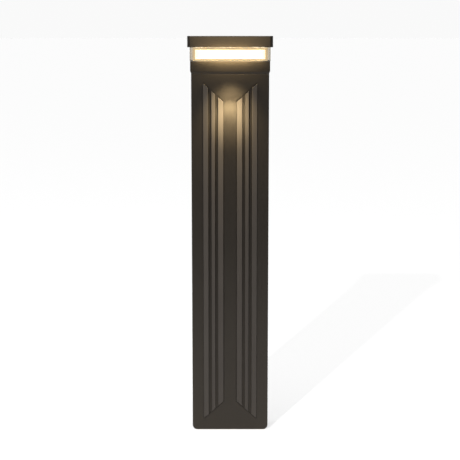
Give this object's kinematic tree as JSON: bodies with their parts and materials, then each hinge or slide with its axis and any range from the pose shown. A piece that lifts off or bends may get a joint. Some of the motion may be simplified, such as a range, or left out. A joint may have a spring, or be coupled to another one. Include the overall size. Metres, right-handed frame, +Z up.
{
  "type": "bollard light",
  "caption": "Shallow upright garden bollard in dark bronze with mitred trim ribs on its face, a collar, a clear lit lens band and an overhanging cap, on an internal anchor plate.",
  "frame": {"origin": "on the ground under the middle of the cap", "axes": "+Z up, the ribbed face looks along -Y, +X to the right of someone facing it"},
  "size_m": [0.1684, 0.0744, 0.8],
  "materials": {
    "bronze": "fine-textured dark bronze powder coat, satin",
    "rib_bronze": "lighter satin bronze coat on machined trim",
    "galvanised_steel": "hot-dip galvanised",
    "stainless": "stainless, turned",
    "plain_aluminium": "mill finish",
    "clear_lens": "clear, polished",
    "opal": "opal diffuser, lit warm white",
    "lamp_frame": "pale gold, edge-lit",
    "rubber": "black moulded rubber",
    "gear_plastic": "dark grey moulded case",
    "terminal_plastic": "off-white moulded",
    "circuit_board": "white solder mask",
    "brass": "machined",
    "lead_sheath": "round sheathed lead"
  },
  "bodies": {
    "root": {"body_shell": "bronze", "rear_cover": "bronze", "collar": "bronze", "cap": "bronze", "rib_inner_left": "rib_bronze", "rib_inner_right": "rib_bronze", "rib_middle_left": "rib_bronze", "rib_middle_right": "rib_bronze", "rib_outer_left": "rib_bronze", "rib_outer_right": "rib_bronze", "base_frame": "galvanised_steel", "shell_screw_front_left": "stainless", "shell_screw_front_right": "stainless", "shell_screw_rear_left": "stainless", "shell_screw_rear_right": "stainless", "collar_screw_left": "stainless", "collar_screw_right": "stainless", "cover_screw_lower_left": "stainless", "cover_screw_lower_right": "stainless", "cover_screw_middle_left": "stainless", "cover_screw_middle_right": "stainless", "cover_screw_upper_left": "stainless", "cover_screw_upper_right": "stainless", "tray_screw_left": "stainless", "tray_screw_right": "stainless", "tie_rod_front_left": "stainless", "tie_rod_front_right": "stainless", "tie_rod_rear_left": "stainless", "tie_rod_rear_right": "stainless", "tie_nut_front_left": "stainless", "tie_nut_front_right": "stainless", "tie_nut_rear_left": "stainless", "tie_nut_rear_right": "stainless", "gear_tray": "plain_aluminium", "heat_sink": "plain_aluminium", "lens": "clear_lens", "diffuser": "opal", "lamp_frame": "lamp_frame", "lead_grommet": "rubber", "lens_gasket_lower": "rubber", "lens_gasket_upper": "rubber", "led_driver": "gear_plastic", "surge_protector": "gear_plastic", "cord_clamp": "gear_plastic", "terminal_block": "terminal_plastic", "lamp_connector": "terminal_plastic", "led_board_front": "circuit_board", "led_board_rear": "circuit_board", "earth_stud": "brass", "lamp_lead": "lead_sheath", "surge_lead": "lead_sheath", "driver_lead": "lead_sheath"}
  },
  "joints": []
}
